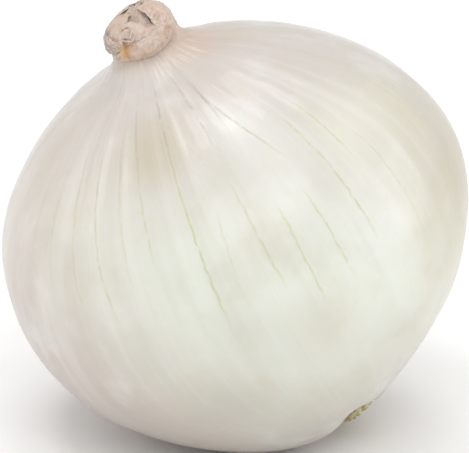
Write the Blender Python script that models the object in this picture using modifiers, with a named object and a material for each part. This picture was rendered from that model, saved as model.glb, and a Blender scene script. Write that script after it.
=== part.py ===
import random
from math import atan2, cos, degrees, exp, hypot, pi, radians, sin

import bpy
from mathutils import Matrix, Vector

MM = 0.001
GAP = 0.3 * MM
SHARP_ANGLE = radians(50)

# Pose: the bulb leans over on a small flat spot whose centre is the world origin.
TILT = radians(26.55)
CENTRE_X = 1.0 * MM
CENTRE_Y = 0.8 * MM
CENTRE_HEIGHT = 40.4 * MM

# Cutters that make the flat spot and the sockets.
FLOOR_CUTTER_SIZE = 60.0 * MM
CUTTER_REACH = 5.0 * MM
SOCKET_STEPS = 64

# Bulb on its own axis. The outline runs from the neck down to the root, radius and height in millimetres.
EQUATOR_RADIUS = 45.0 * MM
ROOT_DEPTH = 42.0 * MM
NECK_SEAT = 43.6 * MM
SEAT_RADIUS = 5.9 * MM
BULB_OUTLINE = [(6.1, 43.5), (6.4, 43.0), (7.2, 42.2), (8.8, 41.0), (12.5, 38.8), (20.0, 35.5), (29.5, 29.4),
                (38.0, 21.5), (43.3, 11.9), (45.0, 0.0), (42.0, -12.5), (34.0, -24.4), (24.0, -33.4),
                (14.0, -38.4), (9.0, -39.6), (6.6, -39.7)]
BULB_STEPS = 96
ROWS_PER_SPAN = 2

# How the bulb departs from a turned shape. Swells are azimuth and latitude in degrees, height in millimetres.
EQUATOR_SHIFT = 1.8 * MM
ROOT_SHIFT = 2.0 * MM
PLUMP_ABOVE = 0.025
PLUMP_BELOW = 0.040
SWELL_WIDTH = 22.0
SWELLS = [(-25, -58, -2.0), (-108, -68, 1.0), (-167, -7, -0.8), (180, 26, 0.4), (166, 49, 1.1),
          (21, 27, -0.8), (9, -3, 0.7)]
RIB_HEIGHT = 0.16 * MM
RIB_COUNTS = (11, 17, 23)

# Dry neck, with the spigot that stands in the bulb. The core's outline is radius and height above the seat
# in millimetres.
NECK_SPIGOT_RADIUS = 4.3 * MM
NECK_SPIGOT_DEPTH = 1.5 * MM
NECK_LEAN = 0.20
CORE_OUTLINE = [(0.0, 3.0), (2.4, 3.9), (4.6, 4.2), (6.1, 3.3), (6.7, 2.0), (6.6, 1.0), (6.0, 0.3)]
CORE_STEPS = 36
CORE_FOLDS = ((3, 0.7, 0.30), (5, 2.1, 0.22), (8, 4.0, 0.14))
LOBE_LIFT = 2.4 * MM
LOBE_SIDE = radians(15)
LEAF_THICKNESS = 0.8 * MM
LEAF_COLUMN_ANGLE = 8
LEAF_ROWS = 6
LEAF_CORNER = 0.18
# Leaf ends: first and last azimuth in degrees, then foot, rim, radius and inward curl in millimetres.
LEAF_ENDS = {
    "hood": (-40, 124, 0.8, 7.2, 7.2, 4.2),
    "cuff": (-168, -18, 0.3, 2.9, 7.1, 0.3),
    "tongue": (-95, 5, 2.0, 4.9, 3.6, 0.7),
}

# Root plate, seen as a disc whose outline is radius and height in millimetres.
PLATE_RADIUS = 5.4 * MM
PLATE_TOP = -38.9 * MM
PLATE_FACE = -40.9 * MM
PLATE_OUTLINE = [(0.0, -38.9), (5.1, -38.9), (5.4, -39.2), (5.4, -40.3), (5.15, -40.7), (4.6, -40.9),
                 (0.0, -40.6)]
PLATE_STEPS = 40
# Root stubs: ring radius in millimetres and how many stand on it.
ROOT_RINGS = [(4.5, 18), (3.1, 12), (1.6, 6)]
STUB_RADIUS = 0.42 * MM
STUB_LENGTH = 0.5 * MM
STUB_SINK = 0.9 * MM
ROOT_SEED = 11


def clear_scene():
    for item in list(bpy.data.objects):
        bpy.data.objects.remove(item, do_unlink=True)


def make_collection(name):
    collection = bpy.data.collections.new(name)
    bpy.context.scene.collection.children.link(collection)
    return collection


def make_material(name, colour, roughness):
    material = bpy.data.materials.new(name)
    material.use_nodes = True
    shader = material.node_tree.nodes["Principled BSDF"]
    shader.inputs["Base Color"].default_value = (*colour, 1.0)
    shader.inputs["Roughness"].default_value = roughness
    shader.inputs["Metallic"].default_value = 0.0
    return material


def new_object(name, mesh, collection):
    item = bpy.data.objects.new(name, mesh)
    collection.objects.link(item)
    return item


def apply_modifiers(item):
    graph = bpy.context.evaluated_depsgraph_get()
    mesh = bpy.data.meshes.new_from_object(item.evaluated_get(graph), depsgraph=graph)
    item.modifiers.clear()
    item.data = mesh


def shade_smooth(item):
    for polygon in item.data.polygons:
        polygon.use_smooth = True
    item.data.set_sharp_from_angle(angle=SHARP_ANGLE)


def ease(value):
    share = min(max(value, 0.0), 1.0)
    return share * share * (3.0 - 2.0 * share)


def smooth_path(points, rows):
    ends = [points[0], *points, points[-1]]
    path = []
    for before, start, end, after in zip(ends, ends[1:], ends[2:], ends[3:]):
        for row in range(rows):
            t = row / rows
            path.append(tuple(
                b + 0.5 * t * (c - a + t * (2 * a - 5 * b + 4 * c - d + t * (3 * b - a - 3 * c + d)))
                for a, b, c, d in zip(before, start, end, after)))
    path.append(points[-1])
    return path


def turned(name, outline, steps, collection):
    profile = bpy.data.meshes.new(name)
    points = [(radius, 0.0, height) for radius, height in outline]
    profile.from_pydata(points, [(i, i + 1) for i in range(len(points) - 1)], [])
    item = new_object(name, profile, collection)
    screw = item.modifiers.new("turn", "SCREW")
    screw.steps = steps
    screw.render_steps = steps
    screw.use_merge_vertices = True
    screw.merge_threshold = 0.00001
    apply_modifiers(item)
    return item


def move_to(item, collection):
    for owner in list(item.users_collection):
        owner.objects.unlink(item)
    collection.objects.link(item)


def cylinder(name, radius, low, high, collection):
    bpy.ops.mesh.primitive_cylinder_add(vertices=SOCKET_STEPS, radius=radius, depth=high - low)
    item = bpy.context.active_object
    item.name = name
    item.data.transform(Matrix.Translation((0.0, 0.0, (low + high) / 2)))
    move_to(item, collection)
    return item


def add_boolean(item, operation, other):
    boolean = item.modifiers.new(other.name, "BOOLEAN")
    boolean.operation = operation
    boolean.solver = "EXACT"
    if isinstance(other, bpy.types.Collection):
        boolean.operand_type = "COLLECTION"
        boolean.collection = other
    else:
        boolean.object = other


def join_all(item, pieces):
    add_boolean(item, "UNION", pieces)
    apply_modifiers(item)
    for piece in list(pieces.objects):
        bpy.data.objects.remove(piece, do_unlink=True)
    bpy.data.collections.remove(pieces)


def bulb_point(point):
    azimuth = atan2(point.y, point.x)
    share = (hypot(point.x, point.y) / EQUATOR_RADIUS) ** 1.5
    plump = PLUMP_ABOVE if point.z > 0.0 else PLUMP_BELOW
    depth = min(point.z, 0.0) / ROOT_DEPTH
    moved = Vector((point.x - EQUATOR_SHIFT * share + ROOT_SHIFT * depth ** 2,
                    point.y,
                    point.z * (1.0 - plump * cos(azimuth) * share)))
    outward = moved.normalized()
    height = 0.0
    for side, latitude, swell in SWELLS:
        middle = Vector((cos(radians(latitude)) * cos(radians(side)),
                         cos(radians(latitude)) * sin(radians(side)),
                         sin(radians(latitude))))
        height += swell * MM * exp(-(degrees(outward.angle(middle)) / SWELL_WIDTH) ** 2)
    ribs = sum(cos(count * azimuth + count) for count in RIB_COUNTS) / len(RIB_COUNTS)
    fade = ease((point.z / ROOT_DEPTH + 0.7) / 0.9) * ease(share / 0.12)
    return moved + outward * (height + RIB_HEIGHT * ribs * fade)


def make_bulb(axis, part, cutters, material):
    outline = [(0.0, NECK_SEAT), (SEAT_RADIUS, NECK_SEAT)]
    outline += [(radius * MM, height * MM) for radius, height in smooth_path(BULB_OUTLINE, ROWS_PER_SPAN)]
    outline += [(0.0, outline[-1][1])]
    bulb = turned("bulb", outline, BULB_STEPS, part)
    for vertex in bulb.data.vertices:
        vertex.co = bulb_point(vertex.co)
    shade_smooth(bulb)
    bulb.data.materials.append(material)
    bulb.parent = axis

    neck_socket = cylinder("neck_socket", NECK_SPIGOT_RADIUS + GAP,
                           NECK_SEAT - NECK_SPIGOT_DEPTH - GAP, NECK_SEAT + CUTTER_REACH, cutters)
    neck_socket.parent = axis
    root_socket = cylinder("root_socket", PLATE_RADIUS + GAP,
                           PLATE_FACE - CUTTER_REACH, PLATE_TOP + GAP, cutters)
    root_socket.location = (ROOT_SHIFT, 0.0, 0.0)
    root_socket.parent = axis
    bpy.ops.mesh.primitive_cube_add(size=FLOOR_CUTTER_SIZE, location=(0.0, 0.0, -FLOOR_CUTTER_SIZE / 2))
    floor_cut = bpy.context.active_object
    floor_cut.name = "floor_cut"
    move_to(floor_cut, cutters)
    for cutter in (neck_socket, root_socket, floor_cut):
        cutter.display_type = "WIRE"
        cutter.hide_render = True
        add_boolean(bulb, "DIFFERENCE", cutter)


def core_point(point):
    height = point.z / MM
    if height < 0.2:
        return point
    radius = hypot(point.x, point.y)
    azimuth = atan2(point.y, point.x) + 0.10 * height
    rise = ease((height - 0.2) / 2.0)
    for count, phase, depth in CORE_FOLDS:
        radius += depth * MM * rise * cos(count * azimuth + phase) * min(radius / (4.0 * MM), 1.0)
    lift = LOBE_LIFT * rise * ease((radius / MM - 0.5) / 3.0) * ease(0.5 - 0.7 * cos(azimuth - LOBE_SIDE))
    return Vector((radius * cos(azimuth) + NECK_LEAN * point.z, radius * sin(azimuth), point.z + lift))


def make_leaf_end(name, values, pieces):
    start, end, foot, rim, radius, curl = values
    columns = round((end - start) / LEAF_COLUMN_ANGLE)
    bpy.ops.mesh.primitive_grid_add(x_subdivisions=columns, y_subdivisions=LEAF_ROWS, size=1.0)
    leaf = bpy.context.active_object
    leaf.name = name
    move_to(leaf, pieces)
    for vertex in leaf.data.vertices:
        across = vertex.co.x + 0.5
        up = vertex.co.y + 0.5
        azimuth = radians(start + (end - start) * across)
        corner = min(across, 1.0 - across) / LEAF_CORNER
        tear = 1.0 + 0.03 * cos(7 * azimuth + rim) + 0.02 * cos(12 * azimuth - rim)
        top = foot + (rim * tear - foot) * (0.45 + 0.55 * ease(corner))
        height = foot + (top - foot) * up
        pleat = 0.18 * cos(6 * azimuth + 1.5 * up + radius)
        reach = radius - curl * up ** 2.2 * (top - foot) / (rim - foot) + pleat
        vertex.co = Vector((reach * cos(azimuth) + NECK_LEAN * height, reach * sin(azimuth), height)) * MM
    shell = leaf.modifiers.new("thickness", "SOLIDIFY")
    shell.thickness = LEAF_THICKNESS
    shell.offset = -1.0
    apply_modifiers(leaf)


def make_dry_neck(axis, part, material):
    outline = [(radius * MM, height * MM) for radius, height in smooth_path(CORE_OUTLINE, ROWS_PER_SPAN)]
    outline += [(NECK_SPIGOT_RADIUS, GAP), (NECK_SPIGOT_RADIUS, -NECK_SPIGOT_DEPTH), (0.0, -NECK_SPIGOT_DEPTH)]
    neck = turned("dry_neck", outline, CORE_STEPS, part)
    for vertex in neck.data.vertices:
        vertex.co = core_point(vertex.co)
    pieces = make_collection("leaf_ends")
    for name, values in LEAF_ENDS.items():
        make_leaf_end(name, values, pieces)
    join_all(neck, pieces)
    shade_smooth(neck)
    neck.data.materials.clear()
    neck.data.materials.append(material)
    neck.location = (0.0, 0.0, NECK_SEAT)
    neck.parent = axis


def make_stub(ring_radius, azimuth, dice, pieces):
    length = STUB_LENGTH * dice.uniform(0.6, 1.4)
    depth = length + STUB_SINK
    bpy.ops.mesh.primitive_cone_add(vertices=6, radius1=STUB_RADIUS * dice.uniform(0.75, 0.9),
                                    radius2=STUB_RADIUS * dice.uniform(1.0, 1.2), depth=depth)
    stub = bpy.context.active_object
    stub.location = (ring_radius * cos(azimuth), ring_radius * sin(azimuth), PLATE_FACE - length + depth / 2)
    stub.rotation_euler = (dice.uniform(-0.12, 0.12), dice.uniform(-0.12, 0.12), dice.uniform(0.0, pi))
    move_to(stub, pieces)


def make_root_plate(axis, part, material):
    outline = [(radius * MM, height * MM) for radius, height in PLATE_OUTLINE]
    plate = turned("root_plate", outline, PLATE_STEPS, part)
    pieces = make_collection("root_stubs")
    dice = random.Random(ROOT_SEED)
    for ring_radius, count in ROOT_RINGS:
        for index in range(count):
            azimuth = 2.0 * pi * (index + dice.uniform(-0.2, 0.2)) / count
            make_stub(ring_radius * MM * dice.uniform(0.97, 1.03), azimuth, dice, pieces)
    join_all(plate, pieces)
    shade_smooth(plate)
    plate.data.materials.clear()
    plate.data.materials.append(material)
    plate.location = (ROOT_SHIFT, 0.0, 0.0)
    plate.parent = axis


def main():
    clear_scene()
    part = make_collection("onion")
    cutters = make_collection("cutters")
    axis = bpy.data.objects.new("onion_axis", None)
    part.objects.link(axis)
    axis.location = (CENTRE_X, CENTRE_Y, CENTRE_HEIGHT)
    axis.rotation_euler = (0.0, -TILT, 0.0)
    skin = make_material("white_skin", (0.80, 0.81, 0.71), 0.32)
    paper = make_material("dry_leaf", (0.66, 0.53, 0.43), 0.75)
    root = make_material("dry_root", (0.54, 0.49, 0.29), 0.80)
    make_bulb(axis, part, cutters, skin)
    make_dry_neck(axis, part, paper)
    make_root_plate(axis, part, root)


main()
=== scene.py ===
import random
from math import cos, pi, radians, sin

import bpy
import numpy as np
from mathutils import Euler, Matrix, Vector, noise


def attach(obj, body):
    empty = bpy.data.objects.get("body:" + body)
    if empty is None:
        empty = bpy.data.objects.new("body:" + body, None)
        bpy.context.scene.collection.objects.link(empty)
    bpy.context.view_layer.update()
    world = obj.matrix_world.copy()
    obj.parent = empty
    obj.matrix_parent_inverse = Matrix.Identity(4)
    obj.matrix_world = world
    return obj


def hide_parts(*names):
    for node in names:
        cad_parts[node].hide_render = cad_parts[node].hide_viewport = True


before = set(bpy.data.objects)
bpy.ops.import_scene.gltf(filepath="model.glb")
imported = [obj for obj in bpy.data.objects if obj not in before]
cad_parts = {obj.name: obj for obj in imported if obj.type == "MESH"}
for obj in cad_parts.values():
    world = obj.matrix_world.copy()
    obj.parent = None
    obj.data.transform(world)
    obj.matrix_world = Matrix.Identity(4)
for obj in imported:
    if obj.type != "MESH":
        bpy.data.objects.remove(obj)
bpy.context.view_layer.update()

# The onion leans over on its own axis, and lengths on that axis are in millimetres.
pose = {"tilt": 26.55, "centre": (1.0, 0.8, 40.4)}
leanOver = Euler((0.0, -radians(pose["tilt"]), 0.0)).to_matrix()
seatHeight = 43.6  # where the dry neck sits on the bulb
neckLean = 0.20    # sideways run of the dry neck for each unit of height


def placed(points):
    return (points @ np.array(leanOver).T + np.array(pose["centre"])) / 1000.0


def ease(value):
    share = np.clip(value, 0.0, 1.0)
    return share * share * (3.0 - 2.0 * share)


def smoothPath(points, rows):
    ends = np.array([points[0], *points, points[-1]], float)
    path = []
    for before, start, end, after in zip(ends, ends[1:], ends[2:], ends[3:]):
        speed = end - before
        bend = 2 * before - 5 * start + 4 * end - after
        twist = 3 * start - before - 3 * end + after
        for t in np.arange(rows) / rows:
            path.append(start + 0.5 * t * (speed + t * (bend + t * twist)))
    return np.array([*path, ends[-1]])


def measuredPath(points, rows=10):  # a smooth path and the distance run at each of its points
    path = smoothPath(points, rows)
    steps = np.linalg.norm(np.diff(path, axis=0), axis=1)
    return path, np.concatenate([[0.0], np.cumsum(steps)])


def alongPath(path, run, along):  # radius and height at the given distances
    return np.interp(along, run, path[:, 0]), np.interp(along, run, path[:, 1])


def readPoints(piece):
    points = np.empty(len(piece.data.vertices) * 3)
    piece.data.vertices.foreach_get("co", points)
    return points.reshape(-1, 3)


def writePoints(piece, points):
    piece.data.vertices.foreach_set("co", points.ravel())
    piece.data.update()


def roughness(points, size, octaves=3):
    return np.array([noise.fractal(Vector(p) / size, 1.0, 2.0, octaves) for p in points])


def creases(points, size, octaves=3):
    return np.array([noise.ridged_multi_fractal(Vector(p) / size, 0.9, 2.1, octaves, 1.0, 2.0)
                     for p in points])


def startPiece():
    bpy.ops.object.select_all(action="DESELECT")


def choose(piece):
    startPiece()
    piece.select_set(True)
    bpy.context.view_layer.objects.active = piece


def startBall(name, body):  # a sphere to draw out along an outline
    startPiece()
    bpy.ops.mesh.primitive_uv_sphere_add(segments=body["segments"], ring_count=body["rings"], radius=1.0)
    ball = bpy.context.active_object
    ball.name = name
    points = readPoints(ball)
    azimuth = np.arctan2(points[:, 1], points[:, 0])
    down = np.arccos(np.clip(points[:, 2], -1.0, 1.0)) / pi   # 0 at the neck, 1 at the root
    return ball, azimuth, down


def startSheet(name, columns, rows):  # a grid to roll up
    startPiece()
    bpy.ops.mesh.primitive_grid_add(x_subdivisions=columns, y_subdivisions=rows, size=1.0)
    sheet = bpy.context.active_object
    sheet.name = name
    flat = readPoints(sheet)
    return sheet, flat[:, 0] + 0.5, flat[:, 1] + 0.5


def giveWall(sheet, thickness, offset):
    wall = sheet.modifiers.new("wall", "SOLIDIFY")
    wall.thickness = thickness / 1000.0
    wall.offset = offset
    choose(sheet)
    bpy.ops.object.modifier_apply(modifier=wall.name)


def addShade(piece, name, values):
    shade = piece.data.attributes.new(name, "FLOAT", "POINT")
    shade.data.foreach_set("value", np.asarray(values, np.float32))


def finishPiece(piece, node, look, smoothAngle=60):
    choose(piece)
    bpy.ops.object.shade_smooth_by_angle(angle=radians(smoothAngle))
    piece.data.materials.clear()
    piece.data.materials.append(look)
    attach(piece, "root")
    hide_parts(node)


class Wire:  # a node's output that can be used in sums
    def __init__(self, look, socket):
        self.look = look
        self.socket = socket

    def math(self, operation, *values):
        return self.look.node("Math", {"operation": operation}, dict(enumerate(values)))

    def __add__(self, other):
        return self.math("ADD", self, other)

    def __sub__(self, other):
        return self.math("SUBTRACT", self, other)

    def __rsub__(self, other):
        return self.math("SUBTRACT", other, self)

    def __mul__(self, other):
        return self.math("MULTIPLY", self, other)

    def __truediv__(self, other):
        return self.math("DIVIDE", self, other)

    def __pow__(self, other):
        return self.math("POWER", self, other)

    def __abs__(self):
        return self.math("ABSOLUTE", self)

    __radd__ = __add__
    __rmul__ = __mul__


class Look:  # a material and the nodes that feed it
    def __init__(self, name, finish):
        self.material = bpy.data.materials.new(name)
        self.material.use_nodes = True
        self.tree = self.material.node_tree
        self.shader = self.tree.nodes["Principled BSDF"]
        for socket, value in finish.items():
            self.shader.inputs[socket].default_value = value

    def node(self, kind, settings=None, inputs=None, output=0):
        made = self.tree.nodes.new("ShaderNode" + kind)
        for key, value in (settings or {}).items():
            setattr(made, key, value)
        for key, value in (inputs or {}).items():
            self.feed(made.inputs[key], value)
        return Wire(self, made.outputs[output])

    def feed(self, socket, value):
        if isinstance(value, Wire):
            self.tree.links.new(value.socket, socket)
        else:
            socket.default_value = value

    def shaderInput(self, socket, value):
        self.feed(self.shader.inputs[socket], value)

    def step(self, value, low, high):
        ends = {"Value": value, "From Min": low, "From Max": high}
        return self.node("MapRange", {"interpolation_type": "SMOOTHSTEP"}, ends)

    def zone(self, value, ends):  # 0 where a zone starts, rising to its share where it is full
        start, full, share = ends
        return self.step(value, start, full) * share

    def blend(self, share, under, over):
        ends = {0: share, 6: self.colour(under), 7: self.colour(over)}
        return self.node("Mix", {"data_type": "RGBA"}, ends, 2)

    def colour(self, value):
        return value if isinstance(value, Wire) else (*value, 1.0)

    def parts(self, vector):
        split = self.node("SeparateXYZ", None, {0: vector}).socket.node
        return [Wire(self, socket) for socket in split.outputs]

    def joined(self, x, y, z):
        return self.node("CombineXYZ", None, {0: x, 1: y, 2: z})

    def cloud(self, vector, scale, detail=2.0, rough=0.5):
        grain = {"Vector": vector, "Scale": scale, "Detail": detail, "Roughness": rough}
        return self.node("TexNoise", None, grain)

    def attribute(self, name):
        return self.node("Attribute", {"attribute_name": name}, None, "Fac")

    def distance(self, place, spot):
        return self.node("VectorMath", {"operation": "DISTANCE"}, {0: place, 1: spot}, "Value")

    def onAxis(self):  # place on the onion's own axis, in millimetres
        back = Euler((0.0, radians(pose["tilt"]), 0.0))
        shift = back.to_matrix() @ Vector(pose["centre"])
        where = self.node("TexCoord", None, None, "Object")
        return self.node("Mapping", None, {"Vector": where, "Location": -shift, "Rotation": back,
                                           "Scale": (1000.0, 1000.0, 1000.0)})

    def bump(self, height, strength, distance):
        facing = self.node("Bump", None, {"Height": height, "Strength": strength, "Distance": distance})
        self.shaderInput("Normal", facing)


# Camera: the photograph's angle and frame.
view = {
    "elevation": 22.48,        # degrees
    "distance": 2.4,           # metres
    "mmPerPixel": 0.1896,
    "frame": (469, 453),       # pixels
    "centrePixel": (246.6, 232.8),   # where the bulb's centre falls
    "sensor": 36.0,            # millimetres
    "reach": 20.0,             # metres
}


def viewAxes():
    lift = radians(view["elevation"])
    right = Vector((1.0, 0.0, 0.0))
    back = Vector((0.0, -cos(lift), sin(lift)))
    return right, back.cross(right), back


def makeCamera():
    right, up, back = viewAxes()
    pixel = view["mmPerPixel"] / 1000.0
    middle = [size / 2 for size in view["frame"]]
    aim = Vector(pose["centre"]) / 1000.0
    aim += right * (middle[0] - view["centrePixel"][0]) * pixel
    aim -= up * (middle[1] - view["centrePixel"][1]) * pixel
    bpy.ops.object.camera_add(location=aim + back * view["distance"],
                              rotation=back.to_track_quat("Z", "Y").to_euler())
    camera = bpy.context.active_object
    camera.name = "photoCamera"
    camera.data.sensor_width = view["sensor"]
    camera.data.lens = view["sensor"] * view["distance"] / (view["frame"][0] * pixel)
    camera.data.clip_end = view["reach"]
    bpy.context.scene.camera = camera
    print("camera ready")


# Studio: soft boxes placed to the camera's right, above it and towards it, in metres from the bulb.
studio = {
    "air": 0.70,               # strength of the white air all round
    "lamps": {
        "fillBox": {"place": (0.10, 0.62, 1.40), "size": (1.30, 1.00), "power": 7.6},
        "topWindow": {"place": (-0.31, 0.80, 0.32), "size": (0.28, 0.20), "power": 1.05},
        "topBand": {"place": (0.02, 0.92, 0.04), "size": (0.34, 0.20), "power": 1.0},
        "frontWindow": {"place": (0.17, 0.38, 0.93), "size": (0.26, 0.26), "power": 0.36},
        "rightBox": {"place": (0.91, 0.22, 0.00), "size": (0.42, 0.60), "power": 1.8},
        "leftBox": {"place": (-0.86, 0.40, -0.02), "size": (0.26, 0.50), "power": 0.75},
    },
}


def makeStudio():
    right, up, back = viewAxes()
    centre = Vector(pose["centre"]) / 1000.0
    for name, lamp in studio["lamps"].items():
        across, above, towards = lamp["place"]
        place = centre + right * across + up * above + back * towards
        bpy.ops.object.light_add(type="AREA", location=place,
                                 rotation=(place - centre).to_track_quat("Z", "Y").to_euler())
        light = bpy.context.active_object
        light.name = name
        light.data.shape = "RECTANGLE"
        light.data.size, light.data.size_y = lamp["size"]
        light.data.energy = lamp["power"]
    world = bpy.data.worlds.new("studioAir")
    world.use_nodes = True
    air = world.node_tree.nodes["Background"]
    air.inputs["Color"].default_value = (1.0, 1.0, 1.0, 1.0)
    air.inputs["Strength"].default_value = studio["air"]
    bpy.context.scene.world = world
    bpy.context.scene.view_settings.view_transform = "Standard"
    print("studio lit")


# Floor: plain and pale.
ground = {
    "size": 16.0,              # metres
    "grain": 3.0,
    "tones": ((0.945, 0.945, 0.94), (0.965, 0.965, 0.96)),
}


def makeFloor():
    startPiece()
    bpy.ops.mesh.primitive_plane_add(size=ground["size"], location=(0.0, 0.0, 0.0))
    floor = bpy.context.active_object
    floor.name = "floor"
    look = Look("paleFloor", {"Roughness": 0.9, "Specular IOR Level": 0.1})
    grain = look.cloud(look.node("TexCoord", None, None, "Object"), ground["grain"], 4.0)
    look.shaderInput("Base Color", look.blend(grain, *ground["tones"]))
    floor.data.materials.append(look.material)
    print("floor laid")


# Bulb: the same outline and swells as the solid, then the fine relief of the skin.
bulb = {
    "segments": 360,
    "rings": 250,
    "neckShare": 0.26,       # share of the rings spent above neckHeight
    "neckHeight": 36.0,
    "outline": [(0.0, 46.2), (5.0, 46.3), (6.1, 45.9), (6.5, 45.0), (6.5, 44.0), (6.7, 43.1),
                (7.4, 42.2), (8.9, 41.0), (12.5, 38.8), (20.0, 35.5), (29.5, 29.4), (38.0, 21.5),
                (43.3, 11.9), (45.0, 0.0), (42.0, -12.5), (34.0, -24.4), (24.0, -33.4), (14.0, -38.4),
                (9.0, -39.6), (6.6, -39.7), (5.8, -39.3), (5.2, -38.8), (0.0, -38.7)],
    "outlineRows": 12,
    "equator": 45.0,
    "equatorShift": 1.8,
    "rootShift": 2.0,
    "socketShift": -0.9,
    "socketEdge": 8.5,       # radius where that shift starts, over a band this wide
    "socketBand": 2.5,
    "socketTop": -38.0,
    "rootDepth": 42.0,
    "plumpAbove": 0.025,
    "plumpBelow": 0.040,
    "swellWidth": 22.0,
    "swells": [(-25, -58, -2.0), (-108, -68, 1.0), (-167, -7, -0.8), (180, 26, 0.4), (166, 49, 1.1),
               (21, 27, -0.8), (9, -3, 0.7)],    # azimuth, latitude, height
    "dents": [(-75, -58, -1.0, 4.2), (-75, -65, -1.2, 4.5), (-72, -71, -1.2, 6.0),
              (-62, -70, -0.9, 8.0), (-72, -79, -1.7, 7.0), (-52, -68, 0.9, 3.2),
              (190, 74, -0.9, 9.0)],            # azimuth, latitude, height, width
    "swellEdge": 5.2,        # radius where swells and dents start, over a band this wide
    "swellBand": 1.6,
    "ribHeight": 0.16,
    "ribCounts": (11, 17, 23),
    "pleatHeight": 0.06,
    "pleatCounts": (31, 44, 59),
    "pleatStart": 14.0,      # height where pleats start, and how far up they grow to full depth
    "pleatRun": 26.0,
    "pleatCollar": 40.5,     # above this they are three times as deep
    "lumpSize": 13.0,
    "lumpHeight": 0.10,
}


def bulbForm(radius, azimuth, height):
    share = (radius / bulb["equator"]) ** 1.5
    plump = np.where(height > 0.0, bulb["plumpAbove"], bulb["plumpBelow"])
    depth = np.minimum(height, 0.0) / bulb["rootDepth"]
    lean = neckLean * np.maximum(height - seatHeight, 0.0)
    inSocket = ease((bulb["socketEdge"] - radius) / bulb["socketBand"]) * (height < bulb["socketTop"])
    lean += bulb["socketShift"] * inSocket
    lean += bulb["rootShift"] * depth ** 2 - bulb["equatorShift"] * share
    points = np.stack([radius * np.cos(azimuth) + lean, radius * np.sin(azimuth),
                       height * (1.0 - plump * np.cos(azimuth) * share)], 1)
    outward = points / np.linalg.norm(points, axis=1)[:, None]
    rise = np.zeros(len(points))
    shown = ease((radius - bulb["swellEdge"]) / bulb["swellBand"])
    swells = [(*swell, bulb["swellWidth"]) for swell in bulb["swells"]] + bulb["dents"]
    for side, latitude, swell, width in swells:
        side, latitude = radians(side), radians(latitude)
        middle = np.array([cos(latitude) * cos(side), cos(latitude) * sin(side), sin(latitude)])
        angle = np.degrees(np.arccos(np.clip(outward @ middle, -1.0, 1.0)))
        rise += swell * np.exp(-(angle / width) ** 2) * shown
    ribs = sum(np.cos(count * azimuth + count) for count in bulb["ribCounts"]) / len(bulb["ribCounts"])
    ribs *= ease((height / bulb["rootDepth"] + 0.7) / 0.9) * ease(share / 0.12)   # none near the root or axis
    rise += bulb["ribHeight"] * ribs
    return points, outward, rise


def pleats(azimuth, height):
    drawn = azimuth + 0.05 * np.sin(3.0 * azimuth + 1.0) + 0.0012 * height * np.sin(5.0 * azimuth)
    folds = sum(1.0 - 2.0 * np.abs(np.sin(0.5 * (count * drawn + 1.7 * count))) ** 0.8
                for count in bulb["pleatCounts"]) / len(bulb["pleatCounts"])
    grown = ease((height - bulb["pleatStart"]) / bulb["pleatRun"])
    return folds * (grown + 2.0 * ease((height - bulb["pleatCollar"]) / 2.0))


def makeBulb():
    skin, azimuth, down = startBall("bulbSkin", bulb)
    path, run = measuredPath(bulb["outline"], bulb["outlineRows"])
    neckRun = run[np.argmax((path[:, 1] < bulb["neckHeight"]) & (path[:, 0] > 10.0))]
    along = np.interp(down, [0.0, bulb["neckShare"], 1.0], [0.0, neckRun, run[-1]])
    radius, height = alongPath(path, run, along)
    points, outward, rise = bulbForm(radius, azimuth, height)
    rise += bulb["pleatHeight"] * pleats(azimuth, height) * ease(radius - 5.9)
    lumps = roughness(points, bulb["lumpSize"]) * bulb["lumpHeight"] * ease((radius - 8.0) / 12.0)
    world = placed(points + outward * (rise + lumps)[:, None])
    world[:, 2] = np.maximum(world[:, 2], 0.0)
    writePoints(skin, world)
    finishPiece(skin, "bulb", skinLook())
    print("bulb ready")


# Skin: near-white with a green and yellow cast, pinker to the left and at the neck, with thin olive veins;
# painted shade darkens its top, its bottom and its lower right, and one patch is a painted highlight.
skinTones = {
    "body": (0.70, 0.72, 0.64),
    "pink": (0.61, 0.55, 0.495),
    # straw: the skin's yellow cast, also used as painted shade at the right rim and lower right
    "straw": (0.55, 0.505, 0.39),
    # painted shade: the darker tone near the floor and at the root end
    "foot": (0.44, 0.375, 0.34),
    "neck": (0.55, 0.44, 0.365),
    # painted shade: the darker tone for the top of the bulb
    "topShade": (0.565, 0.515, 0.48),
    "vein": (0.53, 0.545, 0.30),
    "crease": (0.43, 0.39, 0.33),
    "pale": (0.76, 0.765, 0.72),
}
# Where each tone starts, where it is full and its share. The names in Across, Along, Above and Under are in
# millimetres across the axis, along it and above the floor.
skinZones = {
    "pinkAcross": (-4.0, -42.0, 1.0),
    "pinkAlong": (16.0, 37.0, 0.8),
    # a yellow cast towards the right rim, whose darkness there is partly painted shade; the straw below the
    # middle on the right is painted shade
    "strawAndShadeAcross": (26.0, 44.0, 1.0),
    "strawLess": (-4.0, 10.0, 0.45),
    "strawShadeBelow": (-8.0, -30.0, 1.0),
    "strawShadeBelowAcross": (0.0, 25.0, 0.25),
    # painted shade over the top of the bulb, by height above the floor
    "topShadeAbove": (50.0, 76.0, 0.8),
    # painted shade near the floor and at the root end, deepest on the lower left
    "footAbove": (46.0, 30.0, 0.2),
    "footUnder": (30.0, 10.0, 0.4),
    "footAlong": (-28.0, -39.0, 0.3),
    "footAcross": (-8.0, -30.0, 1.0),
    "footAcrossUnder": (36.0, 18.0, 0.2),
    "cloudStraw": (0.48, 0.75, 0.4),
    "cloudPale": (0.50, 0.25, 0.4),
    "bandPale": (-0.02, 0.12, 0.22),
    "bandDark": (-0.04, -0.20, 0.12),
    "bandRoot": (-24.0, 10.0, 1.0),
    "bandNeck": (42.0, 30.0, 1.0),
    "fibrePale": (0.52, 0.75, 0.10),
    "fibreNeck": (43.0, 34.0, 1.0),
    "neck": (40.0, 44.4, 0.9),
    "neckMatt": (40.0, 43.0, 0.3),
}
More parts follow.
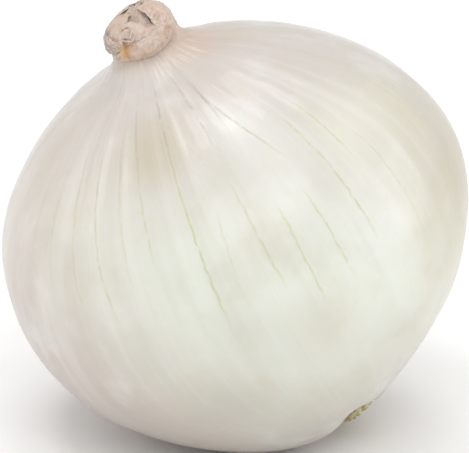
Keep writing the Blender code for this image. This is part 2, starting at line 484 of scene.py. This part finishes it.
# Broad patches of the skin: colour, place on the axis, reach in millimetres and strength. The palest one is a
# painted highlight.
skinPatches = [
    ((0.53, 0.47, 0.35), (-3.5, -26.5, 33.7), 9.0, 0.85),
    ((0.55, 0.53, 0.43), (12.0, -40.7, -7.1), 8.0, 0.5),
    ((0.46, 0.42, 0.36), (-11.0, -38.9, -14.8), 11.0, 0.5),
    ((0.6, 0.57, 0.42), (38.0, -13.1, 15.2), 12.0, 0.5),
    ((0.73, 0.71, 0.62), (31.2, -23.0, 18.6), 13.0, 0.6),
    ((0.76, 0.765, 0.72), (28.0, -32.6, 1.7), 11.0, 0.6),
    ((0.73, 0.74, 0.68), (16.4, -30.7, 25.1), 12.0, 0.6),
    ((0.48, 0.44, 0.34), (42.5, -5.0, -5.0), 12.0, 0.6),
    ((0.58, 0.45, 0.385), (9.0, -1.5, 41.0), 6.0, 0.8),
    # painted highlight where the top window shines
    ((0.8, 0.8, 0.78), (13.5, -25.3, 32.0), 7.0, 0.4),
    ((0.58, 0.58, 0.5), (-0.4, -43.0, -2.0), 8.0, 0.5),
]
# Veins: azimuth at their top and bottom, then the two heights and the strength. Those on the back are guessed.
veins = [
    (-89, -91, 40, 4, 0.85), (-72, -73, 40, 30, 0.75), (-63, -65, 39, 32, 0.65),
    (-66, -58, 38, 24, 0.7), (-48, -49, 28, 4, 0.75), (-59, -59, 17, 0, 0.65),
    (-67, -68, 17, -2, 0.65), (-75, -75, 24, 6, 0.7), (-82, -84, 21, 11, 0.4),
    (-40, -41, 30, 17, 0.7), (-104, -103, 39, 19, 0.65), (-112, -111, 36, 17, 0.35),
    (-122, -118, 34, 11, 0.75), (-132, -127, 34, 12, 0.65), (-142, -138, 33, 17, 0.45),
    (-151, -147, 31, 18, 0.35), (-14, -12, 34, 8, 0.4), (12, 14, 30, -4, 0.45),
    (38, 36, 35, 12, 0.4), (63, 65, 28, -2, 0.45), (-176, -173, 34, 6, 0.45),
    (-204, -202, 28, -6, 0.4), (-231, -229, 34, 14, 0.5), (-256, -257, 30, 0, 0.35),
    (-35, -35, 19, -3, 0.55), (-16, -19, 18, -8, 0.45),
]
veinStyle = {
    "edge": (0.35, 0.04),            # millimetres off its middle where a vein starts and where it is full
    "breaks": (0.30, 0.53),          # in a cloudy pattern of this scale
    "breakScale": 0.42,
    "most": 0.9,
    "minorCount": 50.0,              # faint veins all round
    "minorEdge": (0.26, 0.05),
    "minorBreaks": (0.50, 0.66),
    "minorShare": 0.3,
    "minorRoot": (-26.0, 0.0),
    "minorNeck": (43.0, 39.0),
    "darker": (24.0, 34.0),          # heights between which the ink turns from olive to brown
}


def skinGround(look, place, patches):  # the broad tones
    side, away, height = look.parts(place)
    lift = side * sin(radians(pose["tilt"])) + height * cos(radians(pose["tilt"])) + pose["centre"][2]

    def zone(value, name):
        return look.zone(value, skinZones[name])

    tone = look.blend(zone(side, "pinkAcross"), skinTones["body"], skinTones["pink"])
    tone = look.blend(zone(height, "pinkAlong"), tone, skinTones["pink"])
    # yellow cast towards the right rim, partly painted shade there; below the middle on the right it is
    # painted shade
    straw = zone(side, "strawAndShadeAcross") * (1.0 - zone(height, "strawLess"))
    straw = straw + zone(height, "strawShadeBelow") * zone(side, "strawShadeBelowAcross")
    tone = look.blend(straw.math("MINIMUM", straw, 1.0), tone, skinTones["straw"])
    # painted shade: the top of the bulb darkened by height above the floor
    tone = look.blend(zone(lift, "topShadeAbove"), tone, skinTones["topShade"])
    # painted shade near the floor and at the root end, deepest on the lower left
    foot = zone(lift, "footAbove") + zone(lift, "footUnder") + zone(height, "footAlong")
    foot = foot + zone(side, "footAcross") * zone(lift, "footAcrossUnder")
    tone = look.blend(foot, tone, skinTones["foot"])
    tone = look.blend(zone(patches, "cloudStraw"), tone, skinTones["straw"])
    tone = look.blend(zone(patches, "cloudPale"), tone, skinTones["pale"])
    # patches of tone; the palest is a painted highlight
    for colour, spot, reach, strength in skinPatches:
        apart = look.distance(place, spot) + patches * 6.0
        tone = look.blend(look.step(apart, reach + 6.0, 3.0) * strength, tone, colour)
    return tone


def skinVeins(look, place, turn, sway, girth):  # how strongly the faint veins and the drawn veins show
    height = look.parts(place)[2]
    swung = turn + sway
    seam = look.step(abs(turn), 0.499, 0.495)
    shown = look.step(height, *veinStyle["minorRoot"]) * look.step(height, *veinStyle["minorNeck"]) * seam
    count = veinStyle["minorCount"]
    line = look.node("TexVoronoi", {"voronoi_dimensions": "1D"}, {"W": swung * count, "Randomness": 0.8})
    cell = Wire(look, line.socket.node.outputs["W"])
    breaks = look.node("TexNoise", {"noise_dimensions": "2D"},
                       {"Vector": look.joined(cell * 7.3, height * 0.05, 0.0), "Scale": 1.0, "Detail": 3.0})
    minor = look.step(line * girth / count, *veinStyle["minorEdge"])
    minor = minor * look.step(breaks, *veinStyle["minorBreaks"])
    drawn = 0.0
    for above, below, top, bottom, strength in veins:
        slope = (above - below) / 360.0 / (top - bottom)
        course = height * slope + ((below + 90.0) / 360.0 - slope * bottom)
        reach = look.step(height, top + 1.0, top - 4.0) * look.step(height, bottom - 5.0, bottom + 4.0)
        drawn = look.step(abs(swung - course) * girth, *veinStyle["edge"]) * reach * strength + drawn
    gaps = look.step(look.cloud(place, veinStyle["breakScale"], 3.0, 0.6), *veinStyle["breaks"])
    return minor * veinStyle["minorShare"] * shown, drawn * gaps


def skinLook():
    look = Look("onionSkin", {"IOR": 1.42, "Subsurface Weight": 0.25, "Subsurface Radius": (1.0, 0.8, 0.5),
                              "Subsurface Scale": 0.004, "Coat Weight": 0.3, "Coat Roughness": 0.12})
    place = look.onAxis()
    side, away, height = look.parts(place)
    around = (side * side + away * away) ** 0.5
    low = height.math("MINIMUM", height, 0.0) / bulb["rootDepth"]
    middle = side + bulb["equatorShift"] * (around / bulb["equator"]) ** 1.5 - bulb["rootShift"] * (low * low)
    turn = middle.math("ARCTAN2", middle, 0.0 - away) / (2.0 * pi)   # 0 at the front, one turn all round
    sway = (look.cloud(place, 0.06, 3.0) - 0.5) * 0.005 + (look.cloud(place, 0.45, 3.0, 0.6) - 0.5) * 0.0036
    patches = look.cloud(place, 0.07, 3.0, 0.6)

    def streaks(count, rise, detail=2.0):  # a pattern drawn out from neck to root
        reach = count / (2.0 * pi)
        ring = look.joined(middle / around * reach, away / around * reach, height * rise + sway * 60.0)
        return look.cloud(ring, 1.0, detail)

    def zone(value, name):
        return look.zone(value, skinZones[name])

    tone = skinGround(look, place, patches)
    bands = streaks(46.0, 0.012) - 0.5
    fibres = streaks(240.0, 0.05, 3.0)
    clear = zone(height, "bandRoot") * zone(height, "bandNeck")
    tone = look.blend(zone(bands, "bandPale") * clear, tone, skinTones["pale"])
    tone = look.blend(zone(bands, "bandDark") * clear, tone, skinTones["crease"])
    tone = look.blend(zone(fibres, "fibrePale") * zone(height, "fibreNeck"), tone, skinTones["pale"])
    minor, drawn = skinVeins(look, place, turn, sway, 2.0 * pi * around)
    ink = look.blend(look.step(height, *veinStyle["darker"]), skinTones["vein"], skinTones["crease"])
    tone = look.blend(minor, tone, ink)
    tone = look.blend(drawn.math("MINIMUM", drawn, veinStyle["most"]) * 0.9, tone, ink)
    tone = look.blend(zone(height + patches * 2.0 + side * 0.2, "neck"), tone, skinTones["neck"])
    look.shaderInput("Base Color", tone)
    look.shaderInput("Roughness", 0.34 + 0.12 * fibres + zone(height, "neckMatt"))
    look.bump(fibres * 0.5 + bands + drawn * 0.8 + look.cloud(place, 0.8, 3.0), 0.35, 0.00018)
    return look.material


# Dry neck: leaf ends wrapped round a crumpled core. Angles in degrees, lengths in millimetres above the seat.
core = {
    "segments": 160, "rings": 110,
    "outline": [(0.0, 3.2), (2.2, 3.5), (4.2, 3.3), (5.4, 2.7), (5.8, 1.8), (5.6, 1.0), (4.8, 0.3),
                (4.3, 0.2), (4.2, -1.2), (0.0, -1.3)],
    "folds": ((3, 0.7, 0.30), (5, 2.1, 0.22), (8, 4.0, 0.14)),
    "lobeLift": 2.4, "lobeSide": 15.0,
    "crumple": 0.28, "crumpleSize": 2.4,
}
# Leaf ends: first and last azimuth, profile from foot to rim as radius and height, how far the two ends are
# cut down, tucked in above and sunk, how the foot slants, how ragged and pale the rim is (on the tongue the
# wide pale band is painted light), and a seed.
leafEnds = {
    "neckHood": {"ends": (-44, 138), "cut": (0.0, 0.15), "tuck": (1.1, 0.0), "sink": (0.7, 0.0), "tear": 0.05,
                 "seed": 3,
                 "profile": [(10.0, -3.5), (9.1, -2.7), (8.3, -1.9), (7.5, -0.9), (7.1, 0.3), (6.9, 1.6),
                             (6.5, 3.0), (5.8, 4.3), (4.7, 5.6), (3.2, 6.5), (2.0, 6.85)]},
    "neckBrim": {"ends": (46, 158), "cut": (0.3, 0.1), "tear": 0.14, "seed": 31, "pale": 0.3,
                 "profile": [(5.3, 5.25), (4.7, 5.8), (3.9, 6.35), (3.1, 6.75), (2.3, 7.05), (1.6, 7.1)]},
    "neckLobe": {"ends": (104, 238), "cut": (0.15, 0.25), "tuck": (0.0, 1.2), "sink": (0.9, 0.0),
                 "tear": 0.07, "seed": 5,
                 "profile": [(6.5, 1.3), (6.9, 1.7), (7.1, 2.8), (6.9, 4.1), (5.9, 5.4), (4.1, 6.2),
                             (2.2, 6.4), (1.0, 6.2)]},
    "neckScrap": {"ends": (142, 226), "cut": (0.3, 0.4), "sink": (0.4, 0.5), "tear": 0.14, "seed": 21,
                  "profile": [(6.8, 1.5), (7.2, 2.0), (7.3, 3.0), (7.1, 4.1), (6.4, 5.0)]},
    "neckCuff": {"ends": (-136, -8), "cut": (0.4, 0.0), "sink": (0.0, 0.9), "tear": 0.10, "seed": 8,
                 "slant": (1.9, 1.5),
                 "profile": [(7.25, -0.9), (7.35, 0.1), (7.2, 1.0), (6.8, 1.8), (6.2, 2.4), (5.7, 2.6)]},
    # the tongue's wide pale band is painted light where the hood shades it
    "neckTongue": {"ends": (-124, -30), "cut": (0.1, 0.1), "tear": 0.06, "seed": 13, "lean": 3.2, "pale": 0.7,
                   "profile": [(4.7, 0.8), (4.6, 2.2), (4.2, 3.6), (3.8, 4.9), (3.3, 6.1), (2.9, 7.2)]},
}
leafSheet = {
    "thickness": 0.28,
    "columnsPerDegree": 1.0, "rows": 60,
    "corner": 0.20,          # share of the width over which an end is cut and tucked
    "crumple": 0.32, "crumpleSize": 2.0,
    "fine": 0.16, "fineSize": 0.8,
    "wave": 0.20, "waves": 6,
}


def leaned(radius, azimuth, height):
    return np.stack([radius * np.cos(azimuth) + neckLean * height, radius * np.sin(azimuth),
                     height + seatHeight], 1)


def makeCore():
    bud, azimuth, down = startBall("neckCore", core)
    path, run = measuredPath(core["outline"])
    radius, height = alongPath(path, run, down * run[-1])
    above = ease((height - 0.2) / 2.0)
    turned = azimuth + 0.10 * height
    for count, phase, depth in core["folds"]:
        radius = radius + depth * above * np.cos(count * turned + phase) * np.minimum(radius / 4.0, 1.0)
    lobe = ease(0.5 - 0.7 * np.cos(turned - radians(core["lobeSide"])))
    height = height + core["lobeLift"] * above * ease((radius - 0.5) / 3.0) * lobe
    points = leaned(radius, turned, height)
    folds = creases(points, core["crumpleSize"]) - 1.0
    middle = np.array([0.0, 0.0, seatHeight + 1.0])
    outward = (points - middle) / np.linalg.norm(points - middle, axis=1)[:, None]
    points = points + outward * (core["crumple"] * folds * above)[:, None]
    writePoints(bud, placed(points))
    # fold: crumple height, which the dry neck's colour paints as light on crests and shade in hollows
    addShade(bud, "fold", folds)
    finishPiece(bud, "dry_neck", dryLook)


def tornReach(leaf, azimuth, first, last):  # share of the profile that is left at each azimuth
    edge = np.stack([azimuth * 4.0, np.full(len(azimuth), leaf["seed"] * 3.1), np.zeros(len(azimuth))], 1)
    torn = (roughness(edge, 1.0, 4) + 0.5 * roughness(edge * 4.0, 1.0, 3)) * leaf["tear"]
    return (1.0 - leaf["cut"][0] * first - leaf["cut"][1] * last) * (1.0 + np.minimum(torn, 0.0))


def makeLeafEnd(name, leaf):
    start, end = leaf["ends"]
    columns = round((end - start) * leafSheet["columnsPerDegree"])
    sheet, across, up = startSheet(name, columns, leafSheet["rows"])
    azimuth = np.radians(start + (end - start) * across)
    first = 1.0 - ease(across / leafSheet["corner"])
    last = 1.0 - ease((1.0 - across) / leafSheet["corner"])
    path, run = measuredPath(leaf["profile"])
    radius, height = alongPath(path, run, up * tornReach(leaf, azimuth, first, last) * run[-1])
    tuck, sink, slant = [leaf.get(key, (0.0, 0.0)) for key in ("tuck", "sink", "slant")]
    radius -= (tuck[0] * first + tuck[1] * last) * ease(height / 4.5) + sink[0] * first + sink[1] * last
    height += (slant[0] * ease(0.75 - 1.5 * across) + slant[1] * ease(1.5 * across - 0.75)) * (1.0 - up)
    waves = np.cos(leafSheet["waves"] * azimuth + 1.5 * up + leaf["seed"])
    radius += leafSheet["wave"] * waves * ease((height + 1.5) / 2.0)
    points = leaned(radius, azimuth, height)
    folds = creases(points + leaf["seed"], leafSheet["crumpleSize"]) - 1.0
    folds *= ease((height + 1.8) / 2.0)
    azimuth = azimuth + 0.04 * roughness(points, 1.8) * up
    fine = creases(points - leaf["seed"], leafSheet["fineSize"], 2) - 1.0
    points = leaned(radius + leafSheet["crumple"] * folds + leafSheet["fine"] * fine * up, azimuth, height)
    points[:, 1] += leaf.get("lean", 0.0) * ease(height / 7.0)
    writePoints(sheet, placed(points))
    # fold: crumple height, which the dry neck's colour paints as light on crests and shade in hollows
    addShade(sheet, "fold", 0.6 * folds + 0.6 * fine)
    # rim: paler frayed edges; with the tongue's wide pale reach it is painted light
    inFromRim = np.minimum(1.0 - up, np.minimum(across, 1.0 - across) * 2.5)
    addShade(sheet, "rim", np.clip(1.0 - inFromRim / leaf.get("pale", 0.1), 0.0, 1.0))
    giveWall(sheet, leafSheet["thickness"], -1.0)
    finishPiece(sheet, "dry_neck", dryLook)


# A rolled leaf end that shows as a small swirl at the front left.
swirl = {
    "middle": (-0.9, -5.0, 48.1),
    "towards": (-0.30, -0.80, 0.50),
    "turns": 1.9,
    "inner": 0.3, "outer": 1.7,
    "length": 2.8,
    "columns": 90, "rows": 16,
}


def makeSwirl():
    roll, across, up = startSheet("neckSwirl", swirl["columns"], swirl["rows"])
    turned = 2.0 * pi * swirl["turns"] * across
    radius = swirl["inner"] + (swirl["outer"] - swirl["inner"]) * across + 0.10 * np.cos(5.0 * turned)
    height = swirl["length"] * (up - 0.8) * (1.0 - 0.25 * across) + 0.15 * np.cos(3.0 * turned)
    coil = np.stack([radius * np.cos(turned), radius * np.sin(turned), height], 1)
    points = coil @ np.array(Vector(swirl["towards"]).to_track_quat("Z", "Y").to_matrix()).T
    points += np.array(swirl["middle"])
    folds = creases(points, 1.2) - 1.0
    writePoints(roll, placed(points + 0.08 * folds[:, None]))
    # fold: crumple height, which the dry neck's colour paints as light on crests and shade in hollows
    addShade(roll, "fold", folds)
    giveWall(roll, leafSheet["thickness"], 0.0)
    finishPiece(roll, "dry_neck", dryLook)


dryTones = {
    "paper": (0.61, 0.49, 0.415),
    # light and brown: the paper's own streaks, and also painted light on crumple crests and painted shade in
    # their hollows
    "light": (0.73, 0.65, 0.58),
    "brown": (0.38, 0.26, 0.19),
    "pink": (0.63, 0.47, 0.40),
    "grey": (0.31, 0.285, 0.28),
    "cuff": (0.47, 0.345, 0.25),
}
# Where each tone starts, where it is full and its share.
dryZones = {
    "patchPink": (0.35, 0.7, 1.0),
    # painted light on the crumple crests and painted shade in their hollows
    "foldPaintedLight": (0.1, 0.9, 0.7),
    "foldPaintedShade": (-0.1, -0.7, 0.5),
    "fibreLight": (0.52, 0.66, 0.45),
    "fibreDark": (0.46, 0.34, 0.3),
    # paler frayed rims, and the tongue's wide pale band as painted light
    "rimFrayedAndLit": (0.35, 0.6, 0.8),
    "cuffAlong": (46.6, 45.0, 1.0),
    "cuffFront": (0.0, -4.0, 0.25),
    "openingAlong": (47.5, 50.0, 0.25),
    "greyAcross": (-2.8, -6.0, 0.85),
    "greySpeckle": (0.44, 0.54, 1.0),
    "skinTone": (39.0, 43.4, 0.9),
    "skinEdge": (44.2, 42.6, 1.0),
}
# Stains: colour, place on the axis, reach in millimetres and strength.
stains = [
    ((0.5, 0.24, 0.07), (-2.9, -6.0, 45.6), 2.2, 0.9),
    ((0.74, 0.63, 0.36), (-4.0, -6.0, 45.9), 1.7, 0.7),
    ((0.75, 0.45, 0.42), (7.0, -3.6, 47.0), 1.3, 0.7),
    ((0.3, 0.19, 0.13), (6.3, -3.8, 45.5), 1.0, 0.8),
    ((0.36, 0.15, 0.05), (-2.4, -5.7, 46.0), 0.8, 0.8),
    ((0.15, 0.145, 0.13), (-4.9, -2.0, 48.7), 0.9, 0.85),
    ((0.4, 0.24, 0.19), (4.2, -6.0, 43.7), 0.7, 0.7),
    ((0.48, 0.36, 0.24), (1.0, -7.3, 43.2), 1.4, 0.5),
]


def dryNeckLook():
    look = Look("dryLeaf", {"IOR": 1.4, "Subsurface Weight": 0.15, "Subsurface Radius": (1.0, 0.6, 0.4),
                            "Subsurface Scale": 0.001})
    place = look.onAxis()
    side, away, height = look.parts(place)
    fold = look.attribute("fold")
    rim = look.attribute("rim")
    patches = look.cloud(place, 0.35, 3.0, 0.6)
    speckle = look.cloud(place, 1.8, 4.0, 0.7)
    upright = look.joined(side - (height - seatHeight) * neckLean, away, height * 0.18)
    fibres = look.cloud(upright, 1.9, 4.0, 0.65)

    def zone(value, name):
        return look.zone(value, dryZones[name])

    tone = look.blend(zone(patches, "patchPink"), dryTones["paper"], dryTones["pink"])
    # painted light on the crumple crests and painted shade in their hollows
    tone = look.blend(zone(fold, "foldPaintedLight"), tone, dryTones["light"])
    tone = look.blend(zone(fold, "foldPaintedShade"), tone, dryTones["brown"])
    tone = look.blend(zone(fibres, "fibreLight"), tone, dryTones["light"])
    tone = look.blend(zone(fibres, "fibreDark"), tone, dryTones["brown"])
    # paler frayed rims, and the tongue's wide pale band as painted light
    tone = look.blend(rim * zone(speckle, "rimFrayedAndLit"), tone, dryTones["light"])
    tone = look.blend(zone(height, "cuffAlong") * zone(away, "cuffFront"), tone, dryTones["cuff"])
    tone = look.blend(zone(height, "openingAlong"), tone, dryTones["cuff"])
    tone = look.blend(zone(side, "greyAcross") * zone(speckle, "greySpeckle"), tone, dryTones["grey"])
    for colour, spot, reach, strength in stains:
        apart = look.distance(place, spot) + speckle * 1.2
        tone = look.blend(look.step(apart, reach + 0.7, reach * 0.3) * strength, tone, colour)
    skin = look.blend(zone(height + side * 0.2, "skinTone"), skinTones["pink"], skinTones["neck"])
    tone = look.blend(zone(height + patches, "skinEdge"), tone, skin)
    look.shaderInput("Base Color", tone)
    look.shaderInput("Roughness", 0.5 + 0.3 * patches)
    look.bump(look.cloud(place, 2.5, 5.0, 0.65) + fibres, 0.8, 0.0002)
    return look.material


# Root plate: a dry disc with the trimmed ends of the roots standing on it.
plate = {
    "segments": 160, "rings": 80,
    "outline": [(0.0, -38.6), (4.8, -38.6), (5.1, -39.4), (5.25, -40.6), (4.9, -41.2), (4.3, -41.35),
                (0.0, -41.0)],
    "middle": bulb["rootShift"] + bulb["socketShift"],
    "crumple": 0.16, "crumpleSize": 1.1,
}
# Stubs: radius of each ring and how many stand on it, then the size of one.
stubs = {
    "rings": [(4.5, 24), (3.6, 18), (2.6, 13), (1.6, 9), (0.7, 4)],
    "radius": 0.38, "sides": 9,
    "length": 0.55, "sink": 0.5,     # out of the plate and into it
    "rim": 0.12, "hollow": 0.18,     # width round the hollow, and its depth for a stub of length 1
    "base": -41.2,
    "seed": 11,
}


def makePlate():
    disc, azimuth, down = startBall("rootDisc", plate)
    path, run = measuredPath(plate["outline"])
    radius, height = alongPath(path, run, down * run[-1])
    points = np.stack([radius * np.cos(azimuth) + plate["middle"], radius * np.sin(azimuth), height], 1)
    folds = roughness(points, plate["crumpleSize"], 4)
    points[:, 2] += plate["crumple"] * folds * ease((-39.6 - height) / 0.8)
    points[:, :2] *= (1.0 + 0.02 * folds)[:, None]
    writePoints(disc, placed(points))
    addShade(disc, "fold", folds)
    finishPiece(disc, "root_plate", rootLook)


def makeStub():  # one trimmed root, a millimetre long, with a hollow in its cut end
    startPiece()
    bpy.ops.mesh.primitive_cylinder_add(vertices=stubs["sides"], radius=stubs["radius"], depth=1.0)
    stub = bpy.context.active_object
    stub.name = "rootStub"
    bpy.ops.object.mode_set(mode="EDIT")
    bpy.ops.mesh.select_all(action="DESELECT")
    bpy.ops.object.mode_set(mode="OBJECT")
    for face in stub.data.polygons:
        face.select = face.normal.z < -0.9
    bpy.ops.object.mode_set(mode="EDIT")
    bpy.ops.mesh.inset(thickness=stubs["rim"], depth=0.0)
    bpy.ops.transform.translate(value=(0.0, 0.0, stubs["hollow"]))
    bpy.ops.object.mode_set(mode="OBJECT")
    return stub


def makeStubs():
    dice = random.Random(stubs["seed"])
    pieces = [makeStub()]
    for extra in range(sum(count for ring, count in stubs["rings"]) - 1):
        copy = pieces[0].copy()
        copy.data = pieces[0].data.copy()
        bpy.context.collection.objects.link(copy)
        pieces.append(copy)
    waiting = iter(pieces)
    for ring, count in stubs["rings"]:
        for index in range(count):
            around = 2.0 * pi * (index + dice.uniform(-0.3, 0.3)) / count
            reach = ring + dice.uniform(-0.2, 0.2)
            length = stubs["length"] * dice.uniform(0.6, 1.25) + stubs["sink"]
            girth = dice.uniform(0.7, 1.15)
            lean = np.array([dice.uniform(-0.25, 0.25), dice.uniform(-0.25, 0.25)])
            stub = next(waiting)
            points = (readPoints(stub) - [0.0, 0.0, 0.5]) * [girth, girth, length]
            points[:, :2] += lean * points[:, 2:]
            middle = reach * cos(around) + plate["middle"]
            points += [middle, reach * sin(around), stubs["base"] + stubs["sink"]]
            writePoints(stub, placed(points))
    startPiece()
    for stub in pieces:
        stub.select_set(True)
    bpy.context.view_layer.objects.active = pieces[0]
    bpy.ops.object.join()
    brush = bpy.context.active_object
    brush.name = "rootStubs"
    addShade(brush, "fold", roughness(readPoints(brush) * 1000.0, 0.8, 3))
    finishPiece(brush, "root_plate", rootLook, 50)
    print("roots ready")


rootTones = {
    "olive": (0.50, 0.45, 0.24),
    "straw": (0.64, 0.57, 0.36),
    "brown": (0.26, 0.19, 0.10),
}


def dryRootLook():
    look = Look("dryRoot", {"IOR": 1.4})
    place = look.onAxis()
    fold = look.attribute("fold")
    patches = look.cloud(place, 0.5, 4.0, 0.6)
    tone = look.blend(look.step(patches, 0.35, 0.65), rootTones["olive"], rootTones["straw"])
    tone = look.blend(look.step(fold, -0.05, -0.4) * 0.7, tone, rootTones["brown"])
    look.shaderInput("Base Color", tone)
    look.shaderInput("Roughness", 0.65 + 0.25 * patches)
    look.bump(look.cloud(place, 3.5, 5.0, 0.7), 0.6, 0.0002)
    return look.material


makeCamera()
makeStudio()
makeFloor()
makeBulb()
dryLook = dryNeckLook()
makeCore()
for leafName, leafValues in leafEnds.items():
    makeLeafEnd(leafName, leafValues)
makeSwirl()
print("neck ready")
rootLook = dryRootLook()
makePlate()
makeStubs()
